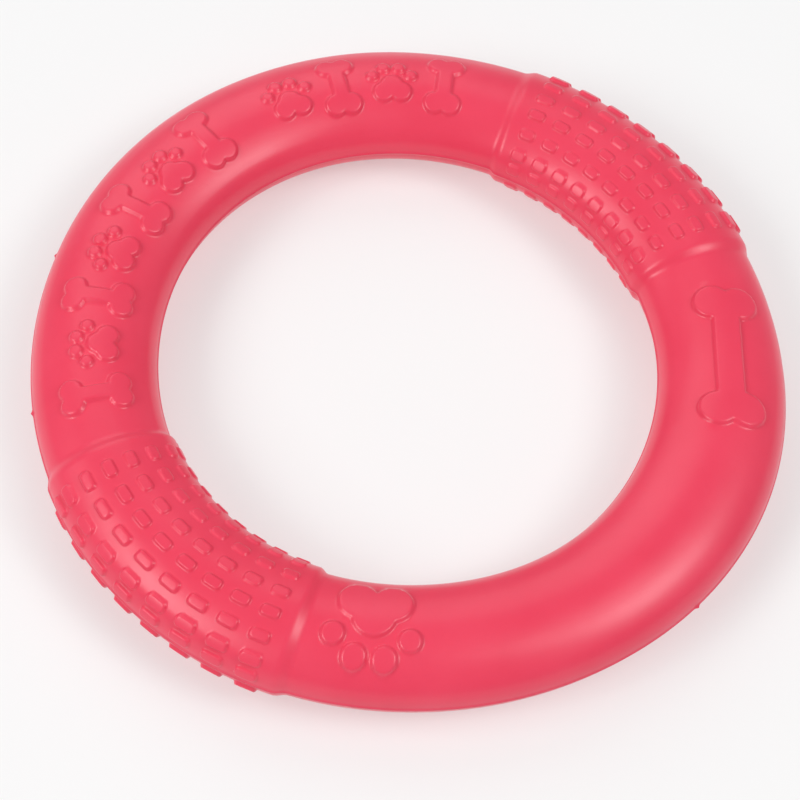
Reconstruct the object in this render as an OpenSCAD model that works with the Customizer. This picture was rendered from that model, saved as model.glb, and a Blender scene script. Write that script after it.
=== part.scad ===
// Flying ring: a soft foam throwing ring with an oval tube.
//
// Two identical moulded halves meet on the ring's mid-plane. The lower half is
// the upper one turned over about the X axis. Two raised grip patches lie on
// the X axis, opposite each other, each with a grid of blocks all round the tube.
// Rows of bones and paw prints stand on the smooth tube between them.
//
// Origin: centre of the ring, at the height of the surface it lies on. +Z is up.

/* [Ring] */
// Outside diameter, over the parting bead
ring_d = 180; // [170:1:200]
// Width of the smooth tube, across the ring
tube_w = 29.4; // [28.6:0.2:31]
// Height of the smooth tube when the ring lies flat
tube_h = 21; // [20.2:0.2:22.2]
// Radius of the tube's inner and outer noses
nose_r = 8.4; // [7.8:0.2:9]

/* [Parting line] */
// How far the moulding bead stands out on the mid-plane
bead_proud = 0.3; // [0.2:0.1:0.6]
// Height of the bead, both halves together
bead_h = 0.8; // [0.4:0.2:1.2]

/* [Grip patches] */
// Length of one patch round the ring, in degrees
grip_span = 48; // [44:1:52]
// How far a patch stands above the smooth tube
grip_rise = 1; // [0.6:0.1:1.4]
// Plain border at each end of a patch, in degrees
grip_border = 2.4; // [1.6:0.2:3]
// Columns of blocks along a patch
block_cols = 8; // [6:1:8]
// Rows of blocks on each half of the tube
block_rows = 8; // [6:2:8]
// Angle from one row of blocks to the next, round the tube
row_pitch = 21.4; // [20:0.1:22]
// Share of its column that a block fills, along the ring
block_fill = 0.63; // [0.5:0.01:0.7]
// Width of a block, round the tube
block_w = 2.6; // [2.2:0.1:2.8]
// How far the outermost row of blocks stands above the patch
outer_rise = 0.8; // [0.4:0.1:1]
// How far the innermost row stands above it
inner_rise = 0.4; // [0.3:0.1:0.8]

/* [Motifs] */
// How far a motif stands above the smooth tube
motif_rise = 0.9; // [0.5:0.1:1.2]
// Length of a small bone, across the tube
bone_l = 16.4; // [14:0.2:17]
// Width of a small bone at its knobs
bone_w = 9; // [8:0.2:9.6]
// Height of a small paw print, across the tube
paw_h = 12.6; // [11:0.2:13]
// Angle from one motif of a row to the next
motif_pitch = 10; // [9.8:0.1:10.2]
// Length of the large bone, along the ring
big_bone_l = 38; // [34:1:40]
// Width of the large bone at its knobs
big_bone_w = 15; // [13:0.5:16]
// Height of the large paw print, across the tube
big_paw_h = 23; // [17:0.5:24]

/* [Hidden] */
$fn = 96;

// Radius of the ring to the middle of its tube
ring_r = (ring_d - tube_w) / 2 - bead_proud;
half_w = tube_w / 2;
half_h = tube_h / 2;

// The oval is four tangent arcs: a nose arc at each side, a crown arc above and below.
nose_c = half_w - nose_r;
crown_r = (nose_c * nose_c + half_h * half_h - nose_r * nose_r) / (2 * (half_h - nose_r));
crown_drop = crown_r - half_h;
join_dir = atan2(crown_drop, nose_c);

block_pitch = (grip_span - 2 * grip_border) / block_cols;
// Blocks are rooted this far under the smooth tube
block_root = 3;
// Motifs stand on this level, well inside the tube, before they are trimmed
motif_root = half_h / 2;

// First motif, count and start angle of the two rows
short_row = [4, 38];
long_row = [7, 86];
big_bone_at = -47;
big_paw_at = -144;

// Knob radius and shaft width of a bone, as shares of its width
knob_share = 0.29;
shaft_share = 0.42;
// Round spots of a paw, [along, across, radius] as shares of its height
pad_heel = [-0.27, 0.17, 0.2];
pad_middle = [-0.12, 0, 0.22];
front_toe = [0.3, 0.15, 0.125];
side_toe = [0.1, 0.38, 0.115];

foam = [0.93, 0.31, 0.39];

// Where the oval's normal leans at an even spacing t round the tube, 0 at the outer nose
function normal_dir(t) = atan2(tube_w * sin(t), tube_h * cos(t));

// Point of the oval whose normal leans at dir degrees
function oval_point(dir) =
    dir < join_dir ? [nose_c + nose_r * cos(dir), nose_r * sin(dir)] :
    dir > 180 - join_dir ? [-nose_c + nose_r * cos(dir), nose_r * sin(dir)] :
    [crown_r * cos(dir), crown_r * sin(dir) - crown_drop];

// Rows count from the outer nose over the crown, evenly to both sides of it
function row_dir(row) = normal_dir(90 + (row - (block_rows - 1) / 2) * row_pitch);

// How far a row's tops stand above the smooth tube, less and less towards the hole
function row_top(row) =
    grip_rise + outer_rise + (inner_rise - outer_rise) * row / (block_rows - 1);

// Height over the mid-plane that a row beside the crown reaches, at its edge nearest the crown
function row_reach(row) =
    let (top_r = crown_r + row_top(row))
    top_r * cos(abs(90 - row_dir(row)) - asin(block_w / 2 / top_r)) - crown_drop;

// The ring rests on one of the two rows of blocks beside the crown
mid_h = max(row_reach(block_rows / 2 - 1), row_reach(block_rows / 2));

// Upper half of the oval, raised by rise
module half_oval(rise) {
    join_x = nose_c + (nose_r + rise) * cos(join_dir);
    intersection() {
        union() {
            for (side = [-1, 1])
                translate([side * nose_c, 0])
                    circle(r = nose_r + rise);
            intersection() {
                translate([0, -crown_drop])
                    circle(r = crown_r + rise);
                translate([-join_x, 0])
                    square([2 * join_x, tube_h]);
            }
        }
        translate([-tube_w, 0])
            square([2 * tube_w, tube_h]);
    }
}

// The same with its half of the parting bead
module half_section(rise) {
    bead_w = 2 * (half_w + rise + bead_proud);
    half_oval(rise);
    translate([-bead_w / 2, 0])
        square([bead_w, bead_h / 2]);
}

// Sweeps a section round an arc of the ring, centred on angle at
module sweep(span, at = 0) {
    rotate([0, 0, at - span / 2])
        rotate_extrude(angle = span)
            translate([ring_r, 0])
                children();
}

// Section of one column of blocks: a fan of ribs along the oval's normals
module column_section() {
    for (row = [0 : block_rows - 1])
        intersection() {
            half_oval(row_top(row));
            translate(oval_point(row_dir(row)))
                rotate(row_dir(row))
                    translate([-block_root, -block_w / 2])
                        square([block_root + 2 * row_top(row), block_w]);
        }
}

module grip_patch() {
    sweep(grip_span)
        half_section(grip_rise);
    for (col = [0 : block_cols - 1])
        sweep(block_pitch * block_fill, (col - (block_cols - 1) / 2) * block_pitch)
            column_section();
}

// Bone outline, lying along X: a shaft with two round knobs at each end
module bone(l, w) {
    knob_r = knob_share * w;
    square([l - 2 * knob_r, shaft_share * w], center = true);
    for (x = [-1, 1], y = [-1, 1])
        translate([x * (l / 2 - knob_r), y * (w / 2 - knob_r)])
            circle(r = knob_r);
}

// Paw outline, toes towards +X, from its round spots and their mirror images
module paw(h) {
    for (side = [-1, 1], spot = [pad_heel, pad_middle, front_toe, side_toe])
        translate([spot[0] * h, side * spot[1] * h])
            circle(r = spot[2] * h);
}

// A motif's prism at angle at, standing through the top of the tube
module stand(at) {
    rotate([0, 0, at])
        translate([ring_r, 0, motif_root])
            linear_extrude(half_h)
                children();
}

module motif_row(row) {
    for (i = [0 : row[0] - 1])
        stand(row[1] + i * motif_pitch)
            if (i % 2 == 0)
                bone(bone_l, bone_w);
            else
                paw(paw_h);
}

module motifs() {
    intersection() {
        sweep(360)
            half_oval(motif_rise);
        union() {
            motif_row(short_row);
            motif_row(long_row);
            stand(big_bone_at)
                rotate([0, 0, 90])
                    bone(big_bone_l, big_bone_w);
            stand(big_paw_at)
                paw(big_paw_h);
        }
    }
}

// One moulding, with its parting face on z = 0
module moulding() {
    sweep(360)
        half_section(0);
    for (at = [0, 180])
        rotate([0, 0, at])
            grip_patch();
    motifs();
}

module upper_half() {
    color(foam)
        translate([0, 0, mid_h])
            moulding();
}

module lower_half() {
    color(foam)
        translate([0, 0, mid_h])
            rotate([180, 0, 0])
                moulding();
}

upper_half();
lower_half();
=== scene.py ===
"""Foam flying ring: two bonded halves with block grips, raised motifs and a parting bead."""
from math import cos, pi, radians, sin

import bpy
import numpy as np
from mathutils import Matrix, Vector


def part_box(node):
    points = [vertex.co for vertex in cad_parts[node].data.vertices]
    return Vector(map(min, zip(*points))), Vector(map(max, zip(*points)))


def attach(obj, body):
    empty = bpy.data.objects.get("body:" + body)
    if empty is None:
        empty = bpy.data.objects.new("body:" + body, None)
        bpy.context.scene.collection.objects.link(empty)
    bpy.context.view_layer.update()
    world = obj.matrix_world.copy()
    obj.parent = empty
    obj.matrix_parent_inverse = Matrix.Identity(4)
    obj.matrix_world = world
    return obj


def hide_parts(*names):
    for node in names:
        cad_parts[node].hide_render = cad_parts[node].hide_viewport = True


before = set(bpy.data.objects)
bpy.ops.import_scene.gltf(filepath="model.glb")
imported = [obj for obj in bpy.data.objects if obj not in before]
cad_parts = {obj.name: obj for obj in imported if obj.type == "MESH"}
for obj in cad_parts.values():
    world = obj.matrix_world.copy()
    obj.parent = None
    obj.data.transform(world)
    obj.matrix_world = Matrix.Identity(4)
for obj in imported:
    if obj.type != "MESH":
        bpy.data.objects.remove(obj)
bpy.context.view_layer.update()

# ---------------------------------------------------------------- sizes, metres and degrees

MM = 0.001

# The smooth tube's oval section, four tangent arcs as in the CAD model
TUBE_W = 29.4 * MM
TUBE_H = 21 * MM
NOSE_R = 8.4 * MM
NOSE_C = TUBE_W / 2 - NOSE_R
CROWN_R = (NOSE_C**2 + (TUBE_H / 2) ** 2 - NOSE_R**2) / (TUBE_H - 2 * NOSE_R)
CROWN_DROP = CROWN_R - TUBE_H / 2
JOIN_DIR = np.arctan2(CROWN_DROP, NOSE_C)

# The bead that the mould's parting line leaves
BEAD_PROUD = 0.3 * MM
BEAD_H = 0.8 * MM

# Grip patches, centred on the X axis
GRIP_SPAN = 48.0
GRIP_BORDER = 2.4
GRIP_RISE = 1.0 * MM
LEDGE_W = 2.7 * MM
BLOCK_COLS = 8
BLOCK_ROWS = 8
COL_PITCH = (GRIP_SPAN - 2 * GRIP_BORDER) / BLOCK_COLS
ROW_PITCH = 21.4
BLOCK_FILL = 0.63
BLOCK_W = 2.6 * MM
BLOCK_CORNER = 1.0 * MM
OUTER_RISE = 0.8 * MM
INNER_RISE = 0.4 * MM
BLOCK_BEVEL = 0.55 * MM
# Share of a block's bevel that lies outside its outline
BLOCK_FLARE = 0.35

# Raised motifs on the smooth tube. A row is (count, angle of its first motif)
MOTIF_RISE = 0.9 * MM
MOTIF_BEVEL = 0.62 * MM
MOTIF_PITCH = 10.0
SHORT_ROW = (4, 38.0)
LONG_ROW = (7, 86.0)
BONE_SIZE = (16.4 * MM, 9 * MM)
PAW_SIZE = 12.6 * MM
BIG_BONE_AT = -47.0
BIG_BONE_SIZE = (38 * MM, 15 * MM)
BIG_PAW_AT = -144.0
BIG_PAW_SIZE = 23 * MM
# No motif reaches further than this from its middle, in degrees
MOTIF_REACH = 20
# Knob radius, shaft width and shaft corner of a bone, as shares of its width
KNOB_SHARE = 0.29
SHAFT_SHARE = 0.42
CORNER_SHARE = 0.1
# Round spots of a paw, (along, across, radius) as shares of its size
PAD_HEEL = (-0.27, 0.17, 0.2)
PAD_MIDDLE = (-0.12, 0, 0.22)
FRONT_TOE = (0.3, 0.15, 0.125)
SIDE_TOE = (0.1, 0.38, 0.115)
# How wide the inner corners of an outline are filled
MELT = 0.5 * MM

# The soft moulding isn't perfect: the grips sit a touch off opposite, and the skin waves a little
GRIP_DRIFT = 1.1
UNEVEN = 0.10 * MM
# Slow waves in the skin: (a, b, c, d) of each sin(a x + b y + c z + d), with x, y and z in metres
SKIN_WAVES = ((61, 23, 90, 0.3), (-37, 84, 51, 1.9), (118, -45, 66, 4.1), (29, 131, -73, 2.6))
# The ring is a little out of round: (lobes, height, angle of the first lobe) of each wave
OUT_OF_ROUND = ((3, 0.45 * MM, 58.7), (4, 0.22 * MM, 6.5))
# One stretch of the tube is squashed wider: (share, angle of its middle, half length in degrees)
SQUASH = (0.055, -70.0, 26.0)
# Torn flash left on the bead
FLASH_AT = (143.9, 116.0, -89.9)
FLASH_PROUD = 0.45 * MM
FLASH_W = 0.5 * MM

# Where the mesh has its points, closest together at the edges that show.
# Along the ring, in millimetres from the middle of a block, a ledge or a scrap of flash
BLOCK_STEPS_ALONG = (0, 0.8, 1.35, 1.65, 1.9, 2.1, 2.3, 2.5, 2.8, 3.15)
LEDGE_STEPS = np.linspace(-2.4, 2.4, 9)
FLASH_STEPS = (-2, -1.2, -0.8, -0.4, 0, 0.4, 0.8, 1.2, 2)
# Column spacing over the motifs, over the plain tube, and the least that is kept
MOTIF_COLUMN = 0.39 * MM
PLAIN_COLUMN = 2.0 * MM
LEAST_COLUMN = 0.12 * MM
# Columns this many degrees beside a row's end motifs, and this far past a big motif, are close too
BESIDE_ROW = 5.2
BESIDE_BIG = MM
# Round the tube, in millimetres from the middle of a block
BLOCK_STEPS_ROUND = (0, 0.5, 0.85, 1.05, 1.22, 1.4, 1.6, 1.9)
# Round the tube, in degrees from a nose: over the bead, and from where the blocks' places start
BEAD_STEPS = (0, 0.6, 1.2, 1.9, 2.8, 4.2)
BLOCKS_FROM = 5
# Round the tube, in degrees from the outer nose: in a column with motifs, and in a plain one
MOTIF_ROUND = (*np.linspace(6.5, 48, 9), *np.linspace(50, 130, 54), *np.linspace(132, 173.5, 9))
PLAIN_ROUND = np.linspace(6.5, 173.5, 36)
# The least spacing that is kept round the tube, in degrees
LEAST_ROUND = 0.3

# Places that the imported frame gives
upper_low, upper_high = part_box("upper_half")
MID_Z = upper_low.z
RING_R = (upper_high.y - upper_low.y) / 2 - BEAD_PROUD - TUBE_W / 2


# ---------------------------------------------------------------- shape of the moulding

def soft_step(depth, width, outside=0.5):
    """0 outside an edge and 1 inside it. The rise is width wide, a share of it outside the edge."""
    x = np.clip(depth / width + outside, 0, 1)
    return x * x * (3 - 2 * x)


def normal_dir(t):
    """Lean of the oval's normal at an even spacing t round the tube, 0 at the outer nose."""
    return np.arctan2(TUBE_W * np.sin(t), TUBE_H * np.cos(t))


def oval(t):
    """Points and normals of the upper half oval: x outward from the tube's middle, z up."""
    lean = normal_dir(t)
    nx, nz = np.cos(lean), np.sin(lean)
    on_nose = (lean < JOIN_DIR) | (lean > pi - JOIN_DIR)
    x = np.where(on_nose, np.sign(nx) * NOSE_C + NOSE_R * nx, CROWN_R * nx)
    z = np.where(on_nose, NOSE_R * nz, CROWN_R * nz - CROWN_DROP)
    return x, z, nx, nz


def turn(a, b):
    """Signed angle from b to a, in degrees, between -180 and 180."""
    return (a - b + 180) % 360 - 180


def rounded_box(x, y, half_x, half_y, corner):
    """Signed distance to a rectangle with round corners, negative inside."""
    qx, qy = np.abs(x) - half_x + corner, np.abs(y) - half_y + corner
    outside = np.hypot(np.maximum(qx, 0), np.maximum(qy, 0))
    return outside + np.minimum(np.maximum(qx, qy), 0) - corner


def disc(x, y, cx, cy, r):
    """Signed distance to a disc, negative inside."""
    return np.hypot(x - cx, y - cy) - r


def melt(shapes):
    """Union of signed distances with softly filled inner corners."""
    union = shapes[0]
    for shape in shapes[1:]:
        share = np.clip(0.5 + 0.5 * (shape - union) / MELT, 0, 1)
        union = shape * (1 - share) + union * share - MELT * share * (1 - share)
    return union


def bone(x, y, size):
    """Bone lying along x."""
    length, width = size
    knob = KNOB_SHARE * width
    knob_x, knob_y = length / 2 - knob, width / 2 - knob
    shapes = [rounded_box(x, y, knob_x, SHAFT_SHARE * width / 2, CORNER_SHARE * width)]
    for end in (-1, 1):
        for side in (-1, 1):
            shapes.append(disc(x, y, end * knob_x, side * knob_y, knob))
    return melt(shapes)


def spot(x, y, size, place, side=1):
    """One round spot of a paw, or with side -1 its mirror image."""
    along, across, radius = place
    return disc(x, y, along * size, side * across * size, radius * size)


def paw(x, y, size):
    """Paw print with its toes towards +x."""
    pad = [spot(x, y, size, PAD_HEEL, side) for side in (-1, 1)]
    pad.append(spot(x, y, size, PAD_MIDDLE))
    toes = [spot(x, y, size, toe, side) for toe in (FRONT_TOE, SIDE_TOE) for side in (-1, 1)]
    return np.minimum(melt(pad), np.minimum.reduce(toes))


def motif_list():
    """(angle, outline function) of every motif, in the moulding's own frame."""
    motifs = []
    for count, start in (SHORT_ROW, LONG_ROW):
        for i in range(count):
            at = start + i * MOTIF_PITCH
            if i % 2 == 0:
                motifs.append((at, lambda x, y: bone(x, y, BONE_SIZE)))
            else:
                motifs.append((at, lambda x, y: paw(x, y, PAW_SIZE)))
    motifs.append((BIG_BONE_AT, lambda x, y: bone(y, x, BIG_BONE_SIZE)))
    motifs.append((BIG_PAW_AT, lambda x, y: paw(x, y, BIG_PAW_SIZE)))
    return motifs


def motif_height(phi, r):
    """Height of the motifs at angle phi and radius r, seen from above."""
    height = np.zeros_like(r)
    for at, outline in motif_list():
        near = np.abs(turn(phi, at)) < MOTIF_REACH
        angle = np.radians(turn(phi[near], at))
        x, y = r[near] * np.cos(angle) - RING_R, r[near] * np.sin(angle)
        top = MOTIF_RISE * soft_step(-outline(x, y), MOTIF_BEVEL)
        height[near] = np.maximum(height[near], top)
    return height


def row_angle(row):
    """Angle t round the tube of a row of blocks, in radians."""
    return radians(90 + (row - (BLOCK_ROWS - 1) / 2) * ROW_PITCH)


def row_rise(row):
    """Height of a row's blocks, which count from the outer nose and get lower towards the hole."""
    return OUTER_RISE + (INNER_RISE - OUTER_RISE) * row / (BLOCK_ROWS - 1)


def grip_height(phi, x, z, nx, nz):
    """Height of the two grip patches with their blocks."""
    height = np.zeros_like(phi)
    for centre in (0, 180):
        along = turn(phi, centre)
        from_end = (GRIP_SPAN / 2 - np.abs(along)) * pi / 180 * RING_R
        height += GRIP_RISE * soft_step(from_end, LEDGE_W)
        for col in range(BLOCK_COLS):
            off = along - (col - (BLOCK_COLS - 1) / 2) * COL_PITCH
            in_col = np.abs(off) < COL_PITCH / 2
            for row in range(BLOCK_ROWS):
                row_x, row_z, row_nx, row_nz = oval(np.array([row_angle(row)]))
                across = (z - row_z) * row_nx - (x - row_x) * row_nz
                same_side = nx * row_nx + nz * row_nz > 0
                near = in_col & same_side & (np.abs(across) < BLOCK_W)
                row_r = RING_R + row_x[0]
                half_l = row_r * radians(COL_PITCH * BLOCK_FILL) / 2
                along_row = row_r * np.radians(off[near])
                gap = rounded_box(along_row, across[near], half_l, BLOCK_W / 2, BLOCK_CORNER)
                height[near] += row_rise(row) * soft_step(-gap, BLOCK_BEVEL, BLOCK_FLARE)
    return height


def bead_height(phi, z, nx, flash_at):
    """Height of the parting bead, with torn flash at a few places."""
    proud = np.full_like(phi, BEAD_PROUD)
    for at in flash_at:
        away = np.radians(turn(phi, at)) * (RING_R + TUBE_W / 2) / FLASH_W
        proud += np.where(nx > 0, FLASH_PROUD, 0) * np.exp(-(away**2))
    return proud * np.exp(-((z / (BEAD_H / 2)) ** 2))


def out_of_round(angle):
    """How far the ring's middle line strays outward at an angle in radians."""
    return sum(h * np.cos(lobes * (angle - radians(first))) for lobes, h, first in OUT_OF_ROUND)


def widening(angle):
    """How many times wider than true the tube is at an angle in degrees."""
    share, middle, reach = SQUASH
    return 1 + share * np.exp(-((turn(angle, middle) / reach) ** 2))


def skin_wave(x, y, z):
    """Slow waves in the foam's skin, between -1 and 1."""
    return sum(np.sin(a * x + b * y + c * z + d) for a, b, c, d in SKIN_WAVES) / len(SKIN_WAVES)


# ---------------------------------------------------------------- mesh of one half

def degrees_along(length):
    """Angle that a length takes up round the ring, at the middle of its tube."""
    return np.degrees(length / RING_R)


def both_sides(steps, pitch):
    """Places round a block's middle at the given steps, and half way to the next block."""
    return sorted({side * step for step in (*steps, pitch / 2) for side in (-1, 1)})


def grip_columns():
    """Angles of the mesh's columns over a patch: close together where blocks have their edges."""
    steps = [degrees_along(step * MM) for step in BLOCK_STEPS_ALONG]
    columns = []
    for centre in (0, 180):
        for col in range(BLOCK_COLS):
            middle = centre + (col - (BLOCK_COLS - 1) / 2) * COL_PITCH
            columns += [middle + step for step in both_sides(steps, COL_PITCH)]
        for side in (-1, 1):
            for step in LEDGE_STEPS:
                columns.append(centre + side * (GRIP_SPAN / 2 + degrees_along(step * MM)))
    return columns


def motif_stretches():
    """(first angle, last angle) of each stretch that carries motifs."""
    stretches = []
    for count, start in (SHORT_ROW, LONG_ROW):
        last = start + (count - 1) * MOTIF_PITCH
        stretches.append((start - BESIDE_ROW, last + BESIDE_ROW))
    for at, length in ((BIG_BONE_AT, BIG_BONE_SIZE[0]), (BIG_PAW_AT, BIG_PAW_SIZE)):
        half = degrees_along(length / 2 + BESIDE_BIG)
        stretches.append((at - half, at + half))
    return stretches


def in_motifs(phi):
    """Whether the column at phi crosses motifs."""
    return any(abs(turn(phi, (a + b) / 2)) <= (b - a) / 2 for a, b in motif_stretches())


def in_grips(phi):
    """Whether the column at phi crosses a patch or its ledge."""
    reach = GRIP_SPAN / 2 + degrees_along(LEDGE_W)
    return any(abs(turn(phi, centre)) < reach for centre in (0, 180))


def thinned(places, least):
    """The sorted places without those that follow another by less than the least."""
    kept = [places[0]]
    for place in places[1:]:
        if place - kept[-1] > least:
            kept.append(place)
    return kept


def all_columns(flash_at):
    """Every column's angle, from 0 to 360, with no gap wider than the plain tube's spacing."""
    columns = grip_columns()
    for first, last in motif_stretches():
        count = int(radians(last - first) * RING_R / MOTIF_COLUMN)
        columns += list(np.linspace(first, last, count))
    for at in flash_at:
        columns += [at + degrees_along(step * MM) for step in FLASH_STEPS]
    kept = thinned(sorted(column % 360 for column in columns), degrees_along(LEAST_COLUMN))
    filled = []
    for a, b in zip(kept, kept[1:] + [kept[0] + 360]):
        parts = max(1, int(np.ceil(radians(b - a) * RING_R / PLAIN_COLUMN)))
        filled += [a + (b - a) * i / parts for i in range(parts)]
    return filled


def block_places():
    """Angles t in degrees, closest together where blocks have their edges."""
    places = []
    for row in range(BLOCK_ROWS):
        t = row_angle(row)
        length_per_radian = np.hypot(TUBE_W / 2 * sin(t), TUBE_H / 2 * cos(t))
        steps = [np.degrees(step * MM / length_per_radian) for step in BLOCK_STEPS_ROUND]
        places += [np.degrees(t) + step for step in both_sides(steps, ROW_PITCH)]
    return [t for t in places if BLOCKS_FROM < t < 180 - BLOCKS_FROM]


def row_places(phi):
    """Angles t round the half tube at which a column has its points."""
    if in_grips(phi):
        inner = block_places()
    elif in_motifs(phi):
        inner = MOTIF_ROUND
    else:
        inner = PLAIN_ROUND
    places = sorted([*BEAD_STEPS, *inner, *(180 - t for t in BEAD_STEPS)])
    return np.radians(thinned(places, LEAST_ROUND))


def zip_columns(a, b, t_a, t_b):
    """Faces between two columns: quads where their places match, and triangles where they don't."""
    if len(a) == len(b) and np.allclose(t_a, t_b):
        return [(a[i], b[i], b[i + 1], a[i + 1]) for i in range(len(a) - 1)]
    faces, i, j = [], 0, 0
    while i < len(a) - 1 or j < len(b) - 1:
        if j == len(b) - 1 or (i < len(a) - 1 and t_a[i + 1] <= t_b[j + 1]):
            faces.append((a[i], b[j], a[i + 1]))
            i += 1
        else:
            faces.append((a[i], b[j], b[j + 1]))
            j += 1
    return faces


def half_ring(name, turned_over):
    """One moulded half as a closed mesh. The lower is the same moulding turned over about X."""
    flip = -1 if turned_over else 1
    flash_at = [flip * at for at in FLASH_AT]
    columns = all_columns(flash_at)
    places = [row_places(phi) for phi in columns]
    phi = np.concatenate([np.full(len(t), c) for c, t in zip(columns, places)])
    x, z, nx, nz = oval(np.concatenate(places))
    height = np.maximum(grip_height(phi, x, z, nx, nz), motif_height(phi, RING_R + x))
    height += bead_height(phi, z, nx, flash_at)

    drifted = np.radians(phi - flip * GRIP_DRIFT * np.cos(np.radians(phi)))
    r = RING_R + x * widening(flip * np.degrees(drifted)) + out_of_round(flip * drifted)
    wave = skin_wave(r * np.cos(drifted), flip * r * np.sin(drifted), flip * z)
    height += UNEVEN * wave
    r, z = r + nx * height, z + nz * height
    points = np.stack([r * np.cos(drifted), flip * r * np.sin(drifted), MID_Z + flip * z], 1)

    starts = np.cumsum([0] + [len(t) for t in places])
    index = [list(range(starts[i], starts[i + 1])) for i in range(len(columns))]
    outer, parting = [], []
    for i in range(len(columns)):
        j = (i + 1) % len(columns)
        outer += zip_columns(index[i], index[j], places[i], places[j])
        parting.append((index[i][0], index[i][-1], index[j][-1], index[j][0]))
    mesh = bpy.data.meshes.new(name)
    mesh.from_pydata(points.tolist(), [], outer + parting)
    mesh.validate()
    mesh.shade_smooth()
    for face in mesh.polygons[len(outer):]:
        face.use_smooth = False
    piece = bpy.data.objects.new(name, mesh)
    bpy.context.scene.collection.objects.link(piece)
    return piece


# ---------------------------------------------------------------- foam

FOAM_TONES = ((0.825, 0.048, 0.102, 1), (0.850, 0.057, 0.114, 1))
FLECK_TINT = (0.93, 0.86, 0.88, 1)


def socket(node, name):
    """The input that is in use, where a node has several of one name."""
    return next(s for s in node.inputs if s.name == name and s.enabled)


def foam_material():
    """Satin moulded foam: a closed skin with faint clouds and fleck, pores and an uneven gloss."""
    mat = bpy.data.materials.new("rose_foam")
    mat.use_nodes = True
    tree = mat.node_tree
    nodes, links = tree.nodes, tree.links
    bsdf = nodes["Principled BSDF"]
    where = nodes.new("ShaderNodeTexCoord")

    def noise(scale, detail, roughness):
        texture = nodes.new("ShaderNodeTexNoise")
        texture.inputs["Scale"].default_value = scale
        texture.inputs["Detail"].default_value = detail
        texture.inputs["Roughness"].default_value = roughness
        links.new(where.outputs["Object"], texture.inputs["Vector"])
        return texture.outputs["Fac"]

    def remap(value, source, target):
        ramp = nodes.new("ShaderNodeMapRange")
        ramp.inputs["From Min"].default_value, ramp.inputs["From Max"].default_value = source
        ramp.inputs["To Min"].default_value, ramp.inputs["To Max"].default_value = target
        links.new(value, ramp.inputs["Value"])
        return ramp.outputs["Result"]

    def bump(height, strength, depth):
        relief = nodes.new("ShaderNodeBump")
        relief.inputs["Strength"].default_value = strength
        relief.inputs["Distance"].default_value = depth
        links.new(height, relief.inputs["Height"])
        return relief

    # Colour: two close tones in slow clouds, with a fine fleck
    clouds = nodes.new("ShaderNodeMix")
    clouds.data_type = "RGBA"
    clouds.inputs["A"].default_value, clouds.inputs["B"].default_value = FOAM_TONES
    cloud_noise = noise(scale=55, detail=3, roughness=0.5)
    links.new(remap(cloud_noise, (0.35, 0.65), (0, 1)), socket(clouds, "Factor"))
    fleck = nodes.new("ShaderNodeMix")
    fleck.data_type = "RGBA"
    fleck.blend_type = "MULTIPLY"
    fleck.inputs["B"].default_value = FLECK_TINT
    links.new(clouds.outputs["Result"], fleck.inputs["A"])
    fleck_noise = noise(scale=1500, detail=2, roughness=0.6)
    links.new(remap(fleck_noise, (0.58, 0.72), (0, 0.25)), socket(fleck, "Factor"))
    links.new(fleck.outputs["Result"], bsdf.inputs["Base Color"])

    # Gloss: satin, duller where the skin was rubbed
    gloss_noise = noise(scale=90, detail=4, roughness=0.6)
    links.new(remap(gloss_noise, (0.3, 0.7), (0.285, 0.335)), bsdf.inputs["Roughness"])

    # Skin: a fine orange peel with shallow pores
    pores = nodes.new("ShaderNodeTexVoronoi")
    pores.inputs["Scale"].default_value = 900
    links.new(where.outputs["Object"], pores.inputs["Vector"])
    pore_depth = remap(pores.outputs["Distance"], (0, 0.22), (0, 1))
    peel = bump(noise(scale=700, detail=4, roughness=0.55), strength=0.12, depth=0.10 * MM)
    pitting = bump(pore_depth, strength=0.06, depth=0.08 * MM)
    links.new(peel.outputs["Normal"], pitting.inputs["Normal"])
    links.new(pitting.outputs["Normal"], bsdf.inputs["Normal"])

    bsdf.inputs["IOR"].default_value = 1.46
    bsdf.inputs["Subsurface Weight"].default_value = 0.12
    bsdf.inputs["Subsurface Radius"].default_value = (1.0, 0.35, 0.30)
    bsdf.inputs["Subsurface Scale"].default_value = 2.0 * MM
    bsdf.inputs["Sheen Weight"].default_value = 0.06
    bsdf.inputs["Sheen Roughness"].default_value = 0.4
    return mat


# ---------------------------------------------------------------- camera, floor and light

# The camera looks down at the ring from VIEW_DISTANCE. VIEW_AIM is how far it aims to the right
# of the ring's middle and above it, as slopes
VIEW_AZIMUTH = -52.92
VIEW_ELEVATION = 59.57
VIEW_ROLL = 7.415
VIEW_DISTANCE = 7.633 * RING_R
VIEW_AIM = (-0.00147, -0.01670)
LENS_MM = 107.76
SENSOR_MM = 36
CLIP_START = 0.01

# A square floor, half its side, how pale it is and how much it glows
FLOOR_HALF = 12.0
FLOOR_TONE = (0.52, 0.52, 0.52, 1)
FLOOR_GLOW = 0.39

# Soft boxes round the ring: name, azimuth, elevation, size and brightness
WHITE = (1, 1, 1, 1)
SKY_BRIGHTNESS = 0.33
LIGHT_DISTANCE = 2.0
SOFT_BOXES = (
    ("window", 308, 38, 0.8, 0.32),
    ("window_side", 285, 45, 0.8, 0.18),
    ("right_wide", 82, 55, 1.2, 0.26),
    ("right_small", 80, 48, 0.6, 0.17),
    ("back", 205, 40, 1.4, 0.20),
)


def view_axes():
    """Right, away along the floor, and up, as the camera's azimuth sees them."""
    a = radians(VIEW_AZIMUTH)
    return Vector((cos(a), sin(a), 0)), Vector((-sin(a), cos(a), 0)), Vector((0, 0, 1))


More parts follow.
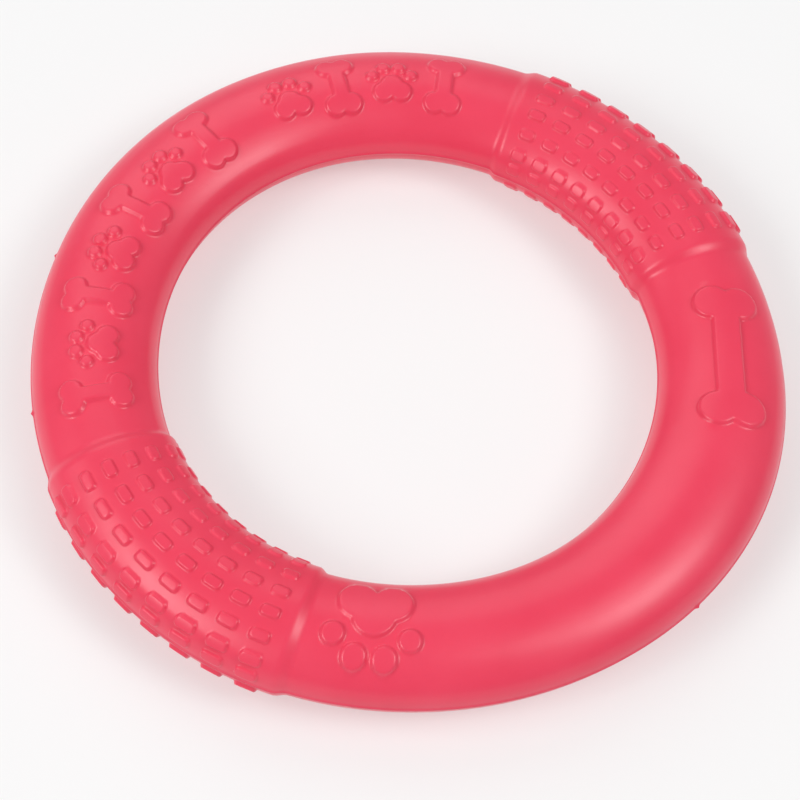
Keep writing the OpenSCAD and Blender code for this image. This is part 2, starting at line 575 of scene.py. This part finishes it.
def make_camera():
    """The camera at the photograph's angle."""
    right, away, up = view_axes()
    e = radians(VIEW_ELEVATION)
    back = up * sin(e) - away * cos(e)
    level_up = right.cross(-back)
    ahead = (-back + right * VIEW_AIM[0] + level_up * VIEW_AIM[1]).normalized()
    across = ahead.cross(level_up).normalized()
    over = across.cross(ahead)
    roll = radians(VIEW_ROLL)
    x_axis = across * cos(roll) + over * sin(roll)
    y_axis = over * cos(roll) - across * sin(roll)
    cam = bpy.data.objects.new("camera", bpy.data.cameras.new("camera"))
    place = Vector((0, 0, MID_Z)) + back * VIEW_DISTANCE
    turn_to = Matrix((x_axis, y_axis, -ahead)).transposed().to_4x4()
    cam.matrix_world = Matrix.Translation(place) @ turn_to
    cam.data.sensor_width = SENSOR_MM
    cam.data.lens = LENS_MM
    cam.data.clip_start = CLIP_START
    bpy.context.scene.collection.objects.link(cam)
    bpy.context.scene.camera = cam


def make_floor():
    """A plain pale floor under the ring, far wider than any view."""
    signs = ((-1, -1), (1, -1), (1, 1), (-1, 1))
    corners = [(x * FLOOR_HALF, y * FLOOR_HALF, 0) for x, y in signs]
    mesh = bpy.data.meshes.new("floor")
    mesh.from_pydata(corners, [], [(0, 1, 2, 3)])
    mat = bpy.data.materials.new("pale_floor")
    mat.use_nodes = True
    bsdf = mat.node_tree.nodes["Principled BSDF"]
    bsdf.inputs["Base Color"].default_value = FLOOR_TONE
    bsdf.inputs["Roughness"].default_value = 0.7
    bsdf.inputs["Specular IOR Level"].default_value = 0.2
    bsdf.inputs["Emission Color"].default_value = WHITE
    bsdf.inputs["Emission Strength"].default_value = FLOOR_GLOW
    mesh.materials.append(mat)
    floor = bpy.data.objects.new("floor", mesh)
    bpy.context.scene.collection.objects.link(floor)


def soft_box(name, azimuth, elevation, size, brightness):
    """A square area light that faces the ring. Azimuth 0 is the camera's side and 90 its right.

    Brightness is how white it makes a white card that faces it at the ring.
    """
    right, away, up = view_axes()
    a, e = radians(azimuth), radians(elevation)
    towards = (right * sin(a) - away * cos(a)) * cos(e) + up * sin(e)
    light = bpy.data.lights.new(name, "AREA")
    light.shape = "SQUARE"
    light.size = size
    light.energy = brightness * (pi * LIGHT_DISTANCE) ** 2
    lamp = bpy.data.objects.new(name, light)
    lamp.location = towards * LIGHT_DISTANCE
    lamp.rotation_mode = "QUATERNION"
    lamp.rotation_quaternion = (-towards).to_track_quat("-Z", "Y")
    bpy.context.scene.collection.objects.link(lamp)


def make_light():
    """Soft studio light: an even white sky and the soft boxes."""
    world = bpy.data.worlds.new("studio")
    world.use_nodes = True
    sky = world.node_tree.nodes["Background"]
    sky.inputs["Color"].default_value = WHITE
    sky.inputs["Strength"].default_value = SKY_BRIGHTNESS
    bpy.context.scene.world = world
    for box in SOFT_BOXES:
        soft_box(*box)
    bpy.context.scene.view_settings.view_transform = "Standard"


# ---------------------------------------------------------------- build

make_camera()
make_floor()
make_light()

foam = foam_material()
for node, turned_over in (("upper_half", False), ("lower_half", True)):
    piece = half_ring(node.replace("half", "foam"), turned_over)
    piece.data.materials.append(foam)
    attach(piece, "root")
    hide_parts(node)
